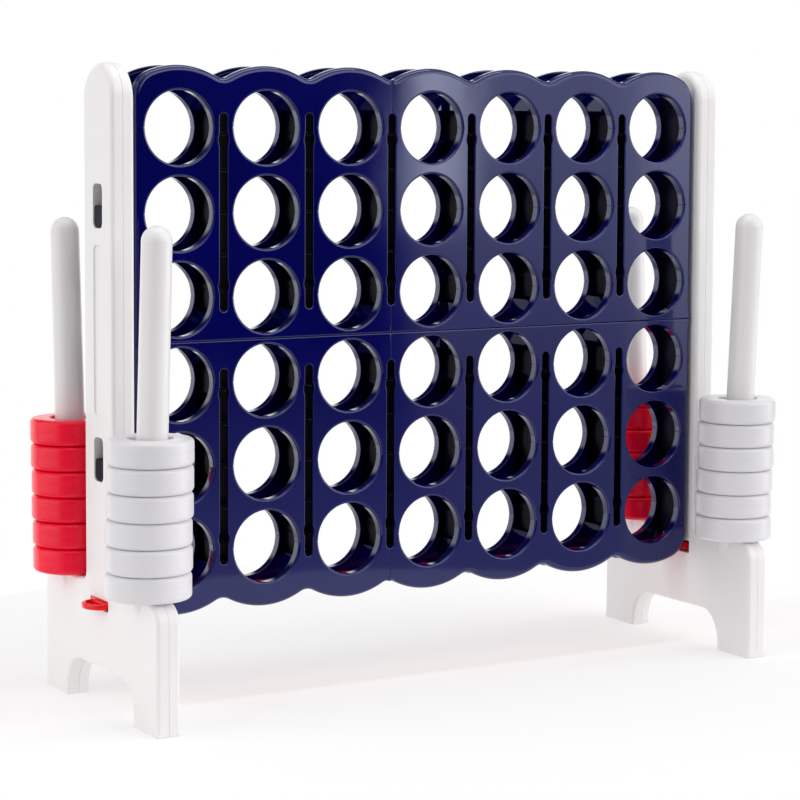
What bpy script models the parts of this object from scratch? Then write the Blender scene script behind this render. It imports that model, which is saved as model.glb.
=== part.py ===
"""Giant four in a row: a lawn game with a seven by six board of round windows between two white uprights.

The board is eight moulded face panels, four in front and four behind, with column dividers and end walls
between them. Hooks on the end walls drop into slots in the uprights. Playing rings wait on four leaning
posts, and a red release bar slides out through the foot of each upright to let the rings fall out.

Metres, +Z up. The origin is on the ground under the middle of the game, and -Y is the front.
"""

import math

import bmesh
import bpy

# ---- driving dimensions ------------------------------------------------------------------------------

GAP = 0.0003                  # clearance between pieces that touch on the real game

WIDTH = 1.200                 # over the outer faces of the two uprights
UPRIGHT_THICKNESS = 0.040     # both shells together
UPRIGHT_WALL = 0.004
UPRIGHT_HEIGHT = 1.047
COLUMN_HALF = 0.055           # half the upright's column, front to back
FOOT_HALF = 0.218             # half the foot, front to back
SHOULDER_Z = 0.208            # flat top of the foot, where the posts stand
SHOULDER_RADIUS = 0.032
COLUMN_FILLET = 0.015
ARCH_HALF = 0.128
ARCH_HEIGHT = 0.070
ARCH_CORNER = (0.046, 0.060)  # half axes of the elliptical corners of the arch

COLUMNS = 7
ROWS = 6
COLUMN_PITCH = 0.1584
ROW_PITCH = 0.1383
BOARD_Z = 0.598               # height of the seam between the upper and the lower panels
BOARD_HALF_WIDTH = 0.555
BOARD_FACE_Y = 0.044          # half the board's thickness, over the faces
PANEL_WALL = 0.003
PANEL_DEPTH = 0.017           # how far the rims and window collars reach back
WINDOW_RADIUS = 0.06075
HUMP_RADIUS = 0.140
HUMP_TOP = 0.446              # from the seam to the top of a hump
NOTCH_TOP = 0.424             # from the seam to the dip between two humps
CORNER_RADIUS = 0.047
SEAM_COLUMNS = 3              # columns on the shorter panel of each face

SLOT_HALF = 0.007
SLOT_LOW = 0.0465             # slot ends, from the seam
SLOT_HIGH = 0.3695
DIVIDER_WALL = 0.002
DIVIDER_RIBS = (1.0, 1.5, 2.0)  # cross ribs, in row pitches from the seam

END_WALL_X = 0.5456           # inner face of the wall at each end of the board
END_WALL_LOW = 0.006
END_WALL_HIGH = 0.400
HOOK_HALF = 0.017
HOOK_SLOTS = (0.783, 0.375)   # bottom of the upper and the lower hook slot
HOOK_SLOT_HEIGHT = 0.071
HOOK_SLOT_HALF = 0.0175
HOOK_HEIGHT = 0.036
HOOK_LIP = 0.020

BAR_TOP = 0.1834              # the lowest rings of the board stand on this
BAR_THICKNESS = 0.0158
BAR_HALF = 0.0265             # half width inside the board
BAR_HEAD = (0.557, 0.5985)    # the bar is wider where it passes through the upright
BAR_HEAD_HALF = 0.0338
TONGUE = (0.628, 0.0315)      # tip and half width of the tongue that stands out of the upright
TONGUE_TOP = 0.1790
TONGUE_THICKNESS = 0.0088
BAR_SLOT = (0.0345, 0.1672, 0.1842)        # half width, bottom, top in the outer shell
BAR_INNER_SLOT = (0.042, 0.1650, 0.1870)   # the same in the inner shell

POST_Y = 0.146                # where a post's axis meets the shoulder
POST_LEAN = math.radians(3.24)
POST_RADIUS = 0.0255          # at the foot of the post
POST_TOP_RADIUS = 0.0243
POST_LENGTH = 0.587
POST_SEAT = 0.0018            # keeps the leaning post's rim off the shoulder
SPIGOT_RADIUS = 0.0135
SPIGOT_DEPTH = 0.055

RING_RADIUS = 0.0685
RING_HOLE_RADIUS = 0.035
RING_HEIGHT = 0.0424          # stacking height, clearance included
RING_EDGE = 0.005
RINGS_PER_POST = 6
RING_FIRST_Y = 0.144          # the lowest ring's centre; the stack leans out with its post
RING_STEP_Y = 0.0018
RING_JOG = 0.0016             # how unevenly the rings lie on each other

WINDOW_SEGMENTS = 12
RING_SEGMENTS = 16
POST_SEGMENTS = 12

WHITE = (0.84, 0.84, 0.85)
RED = (0.72, 0.012, 0.03)
NAVY = (0.006, 0.008, 0.10)

EDGE_X = WIDTH / 2
INNER_X = EDGE_X - UPRIGHT_THICKNESS
POST_X = EDGE_X - UPRIGHT_THICKNESS / 2
SEAM_X = -COLUMN_PITCH * (COLUMNS / 2 - SEAM_COLUMNS)

# Which way a flat sheet drawn in its own XY plane looks once it stands in the game.
FACING = {"-Y": 0.0, "+Y": math.pi, "-X": -math.pi / 2, "+X": math.pi / 2}


# ---- scene helpers -----------------------------------------------------------------------------------

def clear_scene():
    for obj in list(bpy.data.objects):
        bpy.data.objects.remove(obj, do_unlink=True)


def new_collection(name):
    collection = bpy.data.collections.new(name)
    bpy.context.scene.collection.children.link(collection)
    return collection


def material(name, colour, roughness):
    mat = bpy.data.materials.new(name)
    mat.use_nodes = True
    shader = mat.node_tree.nodes["Principled BSDF"]
    shader.inputs["Base Color"].default_value = (*colour, 1.0)
    shader.inputs["Roughness"].default_value = roughness
    shader.inputs["Metallic"].default_value = 0.0
    return mat


def add_object(name, mesh, mat, collection):
    obj = bpy.data.objects.new(name, mesh)
    if not mesh.materials:
        mesh.materials.append(mat)
    collection.objects.link(obj)
    return obj


def smooth(mesh, degrees=35):
    mesh.shade_smooth()
    mesh.set_sharp_from_angle(angle=math.radians(degrees))


def stand_up(obj, facing, location):
    """Turns a sheet drawn in XY upright, so that its +Z side looks along facing."""
    obj.rotation_euler = (math.pi / 2, 0.0, FACING[facing])
    obj.location = location


def arc(centre, radius, start, end, steps):
    """Points on an arc of a circle or, with a pair of radii, an ellipse. Angles are in degrees."""
    rx, ry = radius if isinstance(radius, tuple) else (radius, radius)
    points = []
    for i in range(steps + 1):
        angle = math.radians(start + (end - start) * i / steps)
        points.append((centre[0] + rx * math.cos(angle), centre[1] + ry * math.sin(angle)))
    return points


# ---- sheets: flat outlines with windows, rims and a wall thickness -----------------------------------

def sheet_mesh(name, outline, windows, slots, depth, has_rim=None):
    """An open sheet in XY looking along +Z, whose outline and windows turn back by depth.

    The slots stay plain cuts. has_rim says of an outline edge, from its two ends, whether it turns back.
    """
    bm = bmesh.new()

    def loop(points):
        verts = [bm.verts.new((x, y, 0.0)) for x, y in points]
        return [bm.edges.new((verts[i - 1], verts[i])) for i in range(len(verts))]

    outer = loop(outline)
    turned = [e for e in outer if has_rim is None or has_rim(e.verts[0].co, e.verts[1].co)]
    for points in windows:
        turned += loop(points)
    for points in slots:
        loop(points)
    bmesh.ops.triangle_fill(bm, use_beauty=True, use_dissolve=False, edges=bm.edges[:], normal=(0, 0, 1))
    if depth:
        made = bmesh.ops.extrude_edge_only(bm, edges=turned)["geom"]
        for vert in (g for g in made if isinstance(g, bmesh.types.BMVert)):
            vert.co.z -= depth
    bmesh.ops.recalc_face_normals(bm, faces=bm.faces[:])
    if max(bm.faces, key=lambda f: abs(f.normal.z)).normal.z < 0:
        bmesh.ops.reverse_faces(bm, faces=bm.faces[:])
    mesh = bpy.data.meshes.new(name)
    bm.to_mesh(mesh)
    bm.free()
    return mesh


def thicken(obj, thickness):
    solid = obj.modifiers.new("wall", "SOLIDIFY")
    solid.thickness = thickness
    solid.offset = -1.0
    solid.use_even_offset = True
    solid.use_quality_normals = True


def prism(name, outline, thickness):
    """A guide object: the outline in XY, thickened downwards from Z 0."""
    obj = bpy.data.objects.new(name, sheet_mesh(name, outline, [], [], 0.0))
    thicken(obj, thickness)
    bpy.context.scene.collection.objects.link(obj)
    return obj


def union_mesh(name, first, second):
    """The mesh of two guide objects made one, in the scene's own frame. The guides are removed."""
    union = first.modifiers.new("union", "BOOLEAN")
    union.operation = "UNION"
    union.solver = "EXACT"
    union.object = second
    bpy.context.view_layer.update()
    depsgraph = bpy.context.evaluated_depsgraph_get()
    mesh = bpy.data.meshes.new_from_object(first.evaluated_get(depsgraph))
    mesh.transform(first.matrix_world)
    mesh.name = name
    for obj in (first, second):
        bpy.data.objects.remove(obj, do_unlink=True)
    return mesh


# ---- turned pieces -----------------------------------------------------------------------------------

def turned_mesh(name, profile, segments, closed):
    """Turns a profile of (radius, height) points about Z. It runs down the outer side, top to bottom."""
    base = bpy.data.meshes.new(name + "_profile")
    edges = [(i, i + 1) for i in range(len(profile) - 1)]
    if closed:
        edges.append((len(profile) - 1, 0))
    base.from_pydata([(r, 0.0, z) for r, z in profile], edges, [])
    guide = bpy.data.objects.new(name + "_guide", base)
    bpy.context.scene.collection.objects.link(guide)
    screw = guide.modifiers.new("turn", "SCREW")
    screw.angle = 2 * math.pi
    screw.steps = segments
    screw.render_steps = segments
    screw.use_merge_vertices = True
    screw.merge_threshold = 0.00005
    depsgraph = bpy.context.evaluated_depsgraph_get()
    mesh = bpy.data.meshes.new_from_object(guide.evaluated_get(depsgraph))
    mesh.name = name
    bpy.data.objects.remove(guide, do_unlink=True)
    smooth(mesh)
    return mesh


def ring_mesh():
    low = 0.0
    high = RING_HEIGHT - GAP
    outer = RING_RADIUS
    profile = [(RING_HOLE_RADIUS, high), (outer - RING_EDGE, high), (outer, high - RING_EDGE)]
    profile += [(outer, low + RING_EDGE), (outer - RING_EDGE, low), (RING_HOLE_RADIUS, low)]
    return turned_mesh("ring", profile, RING_SEGMENTS, closed=True)


def post_mesh():
    crown_z = POST_LENGTH - POST_TOP_RADIUS
    dome = arc((0.0, crown_z), POST_TOP_RADIUS, 90, 0, 3)
    profile = [(max(r, 0.0), z) for r, z in dome]
    profile[0] = (0.0, POST_LENGTH)
    profile += [(POST_RADIUS, POST_SEAT), (SPIGOT_RADIUS, POST_SEAT)]
    profile += [(SPIGOT_RADIUS, -SPIGOT_DEPTH), (0.0, -SPIGOT_DEPTH)]
    return turned_mesh("post", profile, POST_SEGMENTS, closed=False)


# ---- uprights ----------------------------------------------------------------------------------------

def upright_outline():
    """Column with a round top on a foot with an arch, drawn front to back and upwards."""
    half = arc((0.0, UPRIGHT_HEIGHT - COLUMN_HALF), COLUMN_HALF, 90, 0, 4)
    half += arc((COLUMN_HALF + COLUMN_FILLET, SHOULDER_Z + COLUMN_FILLET), COLUMN_FILLET, 180, 270, 2)
    half += arc((FOOT_HALF - SHOULDER_RADIUS, SHOULDER_Z - SHOULDER_RADIUS), SHOULDER_RADIUS, 90, 0, 3)
    half += [(FOOT_HALF, 0.0), (ARCH_HALF, 0.0)]
    corner = (ARCH_HALF - ARCH_CORNER[0], ARCH_HEIGHT - ARCH_CORNER[1])
    half += arc(corner, ARCH_CORNER, 0, 90, 3)
    mirrored = [(-x, z) for x, z in reversed(half[1:])]
    return half + mirrored


def box_outline(half, low, high):
    return [(-half, low), (half, low), (half, high), (-half, high)]


def upright_shell(name, bar_slot, mat, collection):
    slots = [box_outline(*bar_slot)]
    for low in HOOK_SLOTS:
        slots.append(box_outline(HOOK_SLOT_HALF, low, low + HOOK_SLOT_HEIGHT))
    mesh = sheet_mesh(name, upright_outline(), [], slots, UPRIGHT_THICKNESS / 2 - GAP / 2)
    obj = add_object(name, mesh, mat, collection)
    thicken(obj, UPRIGHT_WALL)
    return obj


def socket_cutter(side, front, cutters):
    """The round socket of one post, cut through the top of the foot."""
    bpy.ops.mesh.primitive_cylinder_add(vertices=POST_SEGMENTS, radius=SPIGOT_RADIUS + GAP, depth=0.06)
    cutter = bpy.context.active_object
    cutter.name = f"socket_{side:+d}_{front:+d}"
    cutter.location = (side * POST_X, front * POST_Y, SHOULDER_Z)
    cutter.rotation_euler = (-front * POST_LEAN, 0.0, 0.0)
    for owner in list(cutter.users_collection):
        owner.objects.unlink(cutter)
    cutters.objects.link(cutter)
    cutter.hide_render = True
    cutter.display_type = "WIRE"
    return cutter


def build_uprights(parts, cutters):
    mat = material("white_shell", WHITE, 0.45)
    for side, word in ((-1, "left"), (1, "right")):
        outward = "-X" if side < 0 else "+X"
        inward = "+X" if side < 0 else "-X"
        outer = upright_shell(f"{word}_upright_outer_shell", BAR_SLOT, mat, parts)
        stand_up(outer, outward, (side * EDGE_X, 0.0, 0.0))
        inner = upright_shell(f"{word}_upright_inner_shell", BAR_INNER_SLOT, mat, parts)
        stand_up(inner, inward, (side * INNER_X, 0.0, 0.0))
        for front in (-1, 1):
            cutter = socket_cutter(side, front, cutters)
            for shell in (outer, inner):
                cut = shell.modifiers.new("socket", "BOOLEAN")
                cut.operation = "DIFFERENCE"
                cut.solver = "EXACT"
                cut.object = cutter


# ---- board -------------------------------------------------------------------------------------------

def column_x(column):
    return (column - (COLUMNS - 1) / 2) * COLUMN_PITCH


def row_z(row):
    """Height of a row of windows above the seam, for a row counted outwards from it."""
    return (row + 0.5) * ROW_PITCH


def hump_points(column):
    """The round hump over one column, left to right, without the dips at its two sides."""
    centre = (column_x(column), HUMP_TOP - HUMP_RADIUS)
    return arc(centre, HUMP_RADIUS, 115, 65, 4)


def end_corner(sign):
    """The round corner that joins the last hump to the end of the board, from the hump outwards."""
    corner_x = BOARD_HALF_WIDTH - CORNER_RADIUS
    offset = corner_x - column_x(COLUMNS - 1)
    corner_z = HUMP_TOP - HUMP_RADIUS + math.sqrt((HUMP_RADIUS - CORNER_RADIUS) ** 2 - offset ** 2)
    tangent = math.degrees(math.acos(offset / (HUMP_RADIUS - CORNER_RADIUS)))
    return [(sign * x, z) for x, z in arc((corner_x, corner_z), CORNER_RADIUS, tangent, 0, 3)]


def panel_outline(first, last):
    """Outline of the upper panel over columns first to last, clockwise from its lower left corner."""
    dip_x = COLUMN_PITCH / 2
    top = []
    for column in range(first, last + 1):
        hump = hump_points(column)
        if column == 0:
            hump = end_corner(-1)[::-1] + hump[2:]
        if column == COLUMNS - 1:
            hump = hump[:-2] + end_corner(1)
        top += hump
        if column < last:
            top.append((column_x(column) + dip_x, NOTCH_TOP))
    if first > 0:
        seam = SEAM_X + GAP / 2
        left = [(seam, 0.0), (seam, SLOT_LOW), (seam + SLOT_HALF, SLOT_LOW + SLOT_HALF)]
        left += [(seam + SLOT_HALF, SLOT_HIGH - SLOT_HALF), (seam, SLOT_HIGH), (seam, NOTCH_TOP)]
    else:
        left = [(-BOARD_HALF_WIDTH, 0.0)]
    if last < COLUMNS - 1:
        seam = SEAM_X - GAP / 2
        right = [(seam, NOTCH_TOP), (seam, SLOT_HIGH), (seam - SLOT_HALF, SLOT_HIGH - SLOT_HALF)]
        right += [(seam - SLOT_HALF, SLOT_LOW + SLOT_HALF), (seam, SLOT_LOW), (seam, 0.0)]
    else:
        right = [(BOARD_HALF_WIDTH, 0.0)]
    return left + top + right


def slot_outline(x):
    low = SLOT_LOW + SLOT_HALF
    high = SLOT_HIGH - SLOT_HALF
    right = [(x + SLOT_HALF, low), (x + SLOT_HALF, high)]
    left = [(x - SLOT_HALF, high), (x - SLOT_HALF, low)]
    return [(x, SLOT_LOW), *right, (x, SLOT_HIGH), *left]


def has_panel_rim(a, b):
    """The seam down the middle of a face has no rim, because a divider stands behind it."""
    nearest = min(abs(a.x - SEAM_X), abs(b.x - SEAM_X))
    return nearest > SLOT_HALF + 2 * GAP or abs(a.x - b.x) > 2 * SLOT_HALF


def panel_mesh(first, last, upper):
    """A panel of the front face. A lower panel is the upper one mirrored in the seam."""
    flip = 1.0 if upper else -1.0
    outline = [(x, flip * max(z, GAP / 2)) for x, z in panel_outline(first, last)]
    windows = []
    for column in range(first, last + 1):
        for row in range(ROWS // 2):
            centre = (column_x(column), flip * row_z(row))
            windows.append(arc(centre, WINDOW_RADIUS, 0, 360, WINDOW_SEGMENTS)[:-1])
    slots = []
    for column in range(first, last):
        slots.append([(x, flip * z) for x, z in slot_outline(column_x(column) + COLUMN_PITCH / 2)])
    name = f"panel_{first}_{last}_{'upper' if upper else 'lower'}"
    return sheet_mesh(name, outline, windows, slots, PANEL_DEPTH, has_panel_rim)


def build_panels(parts):
    """The rear face is the front face turned half round, so its seam lies one column further right."""
    mat = material("navy_panel", NAVY, 0.18)
    spans = (("left", "right", 0, SEAM_COLUMNS - 1), ("right", "left", SEAM_COLUMNS, COLUMNS - 1))
    for upper in (True, False):
        level = "upper" if upper else "lower"
        for front_word, rear_word, first, last in spans:
            mesh = panel_mesh(first, last, upper)
            front = add_object(f"front_{level}_{front_word}_panel", mesh, mat, parts)
            stand_up(front, "-Y", (0.0, -BOARD_FACE_Y, BOARD_Z))
            rear = add_object(f"rear_{level}_{rear_word}_panel", mesh, mat, parts)
            stand_up(rear, "+Y", (0.0, BOARD_FACE_Y, BOARD_Z))
            thicken(front, PANEL_WALL)
            thicken(rear, PANEL_WALL)


def divider_mesh(flip):
    """A hollow strip as tall as a slot, with cross ribs and pointed ends that follow the slot's."""
    half = SLOT_HALF + DIVIDER_WALL
    low = SLOT_LOW - DIVIDER_WALL
    high = SLOT_HIGH + DIVIDER_WALL
    outline = [(0.0, low), (half, low + half), (half, high - half)]
    outline += [(0.0, high), (-half, high - half), (-half, low + half)]
    levels = [SLOT_LOW + SLOT_HALF, *[rib * ROW_PITCH for rib in DIVIDER_RIBS], SLOT_HIGH - SLOT_HALF]
    windows = []
    for below, above in zip(levels, levels[1:]):
        windows.append(box_outline(SLOT_HALF, below + DIVIDER_WALL / 2, above - DIVIDER_WALL / 2))
    if flip < 0:
        outline = [(x, -z) for x, z in outline]
        windows = [[(x, -z) for x, z in window] for window in windows]
    return sheet_mesh("divider", outline, [], windows, 0.0)


def build_dividers(parts):
    mat = material("navy_divider", NAVY, 0.35)
    front_y = BOARD_FACE_Y - PANEL_WALL - GAP
    for flip, level in ((1.0, "upper"), (-1.0, "lower")):
        mesh = divider_mesh(flip)
        for number in range(1, COLUMNS):
            obj = add_object(f"{level}_divider_{number}", mesh, mat, parts)
            stand_up(obj, "-Y", (column_x(number - 1) + COLUMN_PITCH / 2, -front_y, BOARD_Z))
            thicken(obj, 2 * front_y)


def hook_outline(slot_low):
    """Arm through the upright's slot with a lip that hangs behind the inner shell, drawn in X and Z."""
    root_x = END_WALL_X + PANEL_WALL / 2
    low = slot_low + GAP
    high = slot_low + HOOK_HEIGHT
    lip_inner = INNER_X + UPRIGHT_WALL + 2 * GAP
    lip_outer = lip_inner + 0.008
    tip = EDGE_X - 0.0015
    return [(root_x, low), (lip_inner, low), (lip_inner, low - HOOK_LIP), (lip_outer, low - HOOK_LIP),
            (lip_outer, low), (tip, low), (tip, high), (root_x, high)]


def end_wall_mesh(upper):
    """One end wall with its hook, for the right-hand end of the board."""
    flip = 1.0 if upper else -1.0
    half_y = BOARD_FACE_Y - PANEL_WALL - GAP
    low, high = sorted(BOARD_Z + flip * z for z in (END_WALL_LOW, END_WALL_HIGH))
    wall = prism("wall", box_outline(PANEL_WALL / 2, low, high), 2 * half_y)
    stand_up(wall, "-Y", (END_WALL_X + PANEL_WALL / 2, -half_y, 0.0))
    hook = prism("hook", hook_outline(HOOK_SLOTS[0] if upper else HOOK_SLOTS[1]), 2 * HOOK_HALF)
    stand_up(hook, "-Y", (0.0, -HOOK_HALF, 0.0))
    return union_mesh("end_wall", wall, hook)


def build_end_walls(parts):
    mat = material("navy_end_wall", NAVY, 0.35)
    for upper in (True, False):
        level = "upper" if upper else "lower"
        mesh = end_wall_mesh(upper)
        add_object(f"right_{level}_end_wall", mesh, mat, parts)
        left = add_object(f"left_{level}_end_wall", mesh, mat, parts)
        left.rotation_euler = (0.0, 0.0, math.pi)


# ---- release bars ------------------------------------------------------------------------------------

def bar_mesh():
    """Flat bar from the middle of the board to a round tongue outside the right-hand upright."""
    head_in, head_out = BAR_HEAD
    body = [(GAP, -BAR_HALF), (head_in, -BAR_HALF), (head_in, -BAR_HEAD_HALF), (head_out, -BAR_HEAD_HALF)]
    body += [(x, -y) for x, y in reversed(body)]
    bar = prism("bar", body, BAR_THICKNESS)
    bar.location.z = BAR_TOP
    tip, half = TONGUE
    tongue_outline = [(head_out - 0.01, half), (head_out - 0.01, -half)]
    tongue_outline += arc((head_out, 0.0), (tip - head_out, half), -90, 90, 8)
    tongue = prism("tongue", tongue_outline, TONGUE_THICKNESS)
    tongue.location.z = TONGUE_TOP
    return union_mesh("release_bar", bar, tongue)


def build_release_bars(parts):
    mat = material("red_release_bar", RED, 0.25)
    mesh = bar_mesh()
    for word, turn in (("right", 0.0), ("left", math.pi)):
        bar = add_object(f"{word}_release_bar", mesh, mat, parts)
        bar.rotation_euler = (0.0, 0.0, turn)


# ---- posts and rings ---------------------------------------------------------------------------------

def ring_centre_y(number, phase):
    """Distance from the middle of the game to the centre of a ring, numbered upwards from 0.

    The top ring of every stack lies true, which keeps the game's size the same front and back.
    """
    jog = 0.0 if number == RINGS_PER_POST - 1 else RING_JOG * math.sin(2.3 * number + phase)
    return RING_FIRST_Y + RING_STEP_Y * number + jog


def build_posts_and_rings(parts):
    post_mat = material("white_post", WHITE, 0.4)
    ring_mats = {"front": material("white_ring", WHITE, 0.4), "rear": material("red_ring", RED, 0.35)}
    post = post_mesh()
    rings = {word: ring_mesh() for word in ring_mats}
    phase = 0.0
    for front, row_word in ((-1, "front"), (1, "rear")):
        for side, side_word in ((-1, "left"), (1, "right")):
            stack = f"{row_word}_{side_word}"
            standing = add_object(f"{stack}_post", post, post_mat, parts)
            standing.location = (side * POST_X, front * POST_Y, SHOULDER_Z)
            standing.rotation_euler = (-front * POST_LEAN, 0.0, 0.0)
            for number in range(RINGS_PER_POST):
                name = f"{stack}_ring_{number + 1}"
                ring = add_object(name, rings[row_word], ring_mats[row_word], parts)
                height = SHOULDER_Z + GAP + number * RING_HEIGHT
                ring.location = (side * POST_X, front * ring_centre_y(number, phase), height)
            phase += 1.7


def main():
    clear_scene()
    parts = new_collection("giant_four_in_a_row")
    cutters = new_collection("cutters")
    build_uprights(parts, cutters)
    build_panels(parts)
    build_dividers(parts)
    build_end_walls(parts)
    build_release_bars(parts)
    build_posts_and_rings(parts)


main()
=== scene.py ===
import math

import bmesh
import bpy
import numpy as np
from mathutils import Matrix, Vector
from mathutils.geometry import delaunay_2d_cdt


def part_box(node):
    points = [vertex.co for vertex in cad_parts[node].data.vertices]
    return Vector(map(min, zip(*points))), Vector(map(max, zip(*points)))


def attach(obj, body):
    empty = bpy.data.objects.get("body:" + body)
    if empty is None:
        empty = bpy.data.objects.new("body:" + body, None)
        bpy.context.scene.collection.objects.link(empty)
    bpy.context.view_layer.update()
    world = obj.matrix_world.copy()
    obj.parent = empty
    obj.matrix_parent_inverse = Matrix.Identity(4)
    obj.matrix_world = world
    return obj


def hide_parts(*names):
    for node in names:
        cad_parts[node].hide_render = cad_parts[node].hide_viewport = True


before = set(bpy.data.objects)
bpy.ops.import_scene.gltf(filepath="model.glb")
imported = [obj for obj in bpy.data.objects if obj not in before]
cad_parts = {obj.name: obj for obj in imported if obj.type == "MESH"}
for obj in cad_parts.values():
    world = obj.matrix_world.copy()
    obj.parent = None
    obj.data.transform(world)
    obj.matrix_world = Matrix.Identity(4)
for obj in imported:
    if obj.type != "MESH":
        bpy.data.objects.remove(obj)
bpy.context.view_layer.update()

# All lengths are in metres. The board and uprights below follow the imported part's own sizes.
EDGE_X = 0.600          # outer face of an upright
INNER_X = 0.560         # its face towards the board
MID_X = 0.580           # its parting line
SHELL_DEPTH = EDGE_X - MID_X - 0.00015
SHOULDER_Z = 0.208      # top of a foot
COLUMN_HALF = 0.055     # half the column's width, which is its crown's radius too
CROWN_Z = 0.992         # centre of the crown
ARCH_Z = 0.070          # top of the arch between the feet
BOARD_Z = 0.598         # the seam between the upper and lower panels
FACE_Y = 0.044          # front face of the board, and the rear one at the same distance
PITCH_X = 0.1584        # from column to column
PITCH_Z = 0.1383        # from row to row
COLUMNS = 7
ROWS = 6
HUMP_R = 0.140          # a hump over a column, and the height of its centre above the seam
HUMP_Z = 0.306
NOTCH_R = 0.0268        # the dip between two humps
HALF_WIDTH = 0.555
CORNER_R = 0.047
SEAM_X = -PITCH_X / 2   # the upright seam, between columns 3 and 4
LEAN = math.radians(3.24)
POST_Y = 0.146
POST_LENGTH = 0.587
HOOK_SLOTS = (("upper", 0.783), ("lower", 0.375))   # lower end of each slot in an upright


# ---- outlines --------------------------------------------------------------------------------------------

def arc(cx, cy, radius, start, end, steps):
    rx, ry = radius if isinstance(radius, tuple) else (radius, radius)
    angles = np.radians(np.linspace(start, end, steps + 1))
    return [(cx + rx * math.cos(a), cy + ry * math.sin(a)) for a in angles]


def circle(cx, cy, radius, steps):
    return arc(cx, cy, radius, 0, 360, steps)[:-1]


def rounded_box(x0, x1, y0, y1, radius, steps=6):
    points = arc(x1 - radius, y0 + radius, radius, -90, 0, steps)
    points += arc(x1 - radius, y1 - radius, radius, 0, 90, steps)
    points += arc(x0 + radius, y1 - radius, radius, 90, 180, steps)
    points += arc(x0 + radius, y0 + radius, radius, 180, 270, steps)
    return points


def area(points):
    x, y = np.asarray(points)[:, :2].T
    return 0.5 * float(np.sum(x * np.roll(y, -1) - np.roll(x, -1) * y))


def turned(points, anticlockwise):
    """A loop in the wanted direction. Points may carry more than their two coordinates."""
    return points if (area(points) > 0) == anticlockwise else points[::-1]


def inset(points, distance):
    """Moves a closed loop to its left by distance, the same or one for each point, with mitred corners."""
    p = np.asarray(points, float)
    edge = np.roll(p, -1, axis=0) - p
    edge /= np.linalg.norm(edge, axis=1)[:, None]
    left = np.stack([-edge[:, 1], edge[:, 0]], axis=1)
    before = np.roll(left, 1, axis=0)
    mitre = (left + before) / (1.0 + np.sum(left * before, axis=1))[:, None]
    return p + mitre * np.broadcast_to(distance, (len(p),))[:, None]


# ---- lofted mouldings ------------------------------------------------------------------------------------

def edge_rings(radius, steps=5):
    """From the flat face round an edge: insets and depths."""
    radius = np.asarray(radius, float)
    turns = np.linspace(0, math.pi / 2, steps + 1)
    return [(radius * (1 - math.sin(t)), radius * (1 - math.cos(t))) for t in turns]


def rim_rings(radius, depth, wall, steps=5, lip=0.0006):
    """Round the front edge, back to the rim, over its lip and up inside to the back of the face."""
    radius = np.asarray(radius, float)
    rings = edge_rings(radius, steps)
    zero = radius * 0.0
    rings.append((zero, zero + depth - lip))
    rings.append((zero + 0.3 * lip, zero + depth - 0.3 * lip))
    rings.append((zero + lip, zero + depth))
    rim = np.minimum(wall, 0.75 * radius)
    rings += [(rim - 0.3 * np.minimum(lip, rim / 2), zero + depth), (rim, zero + depth - lip)]
    bend = radius - rim
    for t in np.linspace(0, math.pi / 2, 4):
        rings.append((rim + bend * (1 - math.cos(t)), wall + bend * (1 - math.sin(t))))
    return rings


def slab_rings(front, back, depth, steps=4, groove=None):
    """Both edges of a slab of the given depth, with an optional fine groove round its middle."""
    rings = edge_rings(front, steps)
    if groove:
        middle = depth / 2
        rings += [(0.0, middle - groove), (groove, middle), (0.0, middle + groove)]
    rings += [(d, depth - z) for d, z in reversed(edge_rings(back, steps))]
    return rings


INSIDE_WITH_HOLES = 2   # the triangulation's mode that leaves the holes out
# The layer in which the weighted normals modifier finds the faces whose own normal wins, and its top level.
FACE_STRENGTH = "__mod_weightednormals_faceweight"
STRONG = 16384


def fill(bm, rings):
    """Flat triangulated face between closed rings of vertices, the first outside and the rest holes."""
    verts = [vert for ring in rings for vert in ring]
    starts = np.cumsum([0] + [len(ring) for ring in rings])
    loops = [list(range(start, end)) for start, end in zip(starts.tolist(), starts.tolist()[1:])]
    flat = [vert.co.to_2d() for vert in verts]
    points, _, faces, originals, _, _ = delaunay_2d_cdt(flat, [], loops, INSIDE_WITH_HOLES, 1e-8)
    if len(points) != len(verts):
        raise ValueError("the rings of a flat face cross each other")
    strength = bm.faces.layers.int[FACE_STRENGTH]
    for face in faces:
        bm.faces.new([verts[originals[i][0]] for i in face])[strength] = STRONG


def loft(loops, matrix, bm=None):
    """A closed moulding in a plane, +Z its face. Each loop is (points, rings, kind).

    Kind "through" loops run from the face to the back. A "pocket" starts on the face and has its own floor.
    """
    own = bmesh.new()
    own.faces.layers.int.new(FACE_STRENGTH)
    front, back = [], []
    for number, (points, rings, kind) in enumerate(loops):
        points = turned(list(points), number == 0)
        previous = None
        for step, (distance, depth) in enumerate(rings):
            flat = inset(points, distance)
            depths = np.broadcast_to(depth, (len(flat),))
            verts = [own.verts.new((x, y, -d)) for (x, y), d in zip(flat, depths)]
            if previous:
                for i in range(len(verts)):
                    own.faces.new([previous[i - 1], previous[i], verts[i], verts[i - 1]])
            else:
                front.append(verts)
            previous = verts
        if kind == "pocket":
            own.faces.new(previous)
        else:
            back.append(previous)
    fill(own, front)
    fill(own, back)
    bmesh.ops.recalc_face_normals(own, faces=own.faces[:])
    own.transform(matrix)
    if matrix.to_3x3().determinant() < 0:
        bmesh.ops.reverse_faces(own, faces=own.faces[:])
    if bm is None:
        return own
    scratch = bpy.data.meshes.new("scratch")
    own.to_mesh(scratch)
    own.free()
    bm.from_mesh(scratch)
    bpy.data.meshes.remove(scratch)
    return bm


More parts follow.
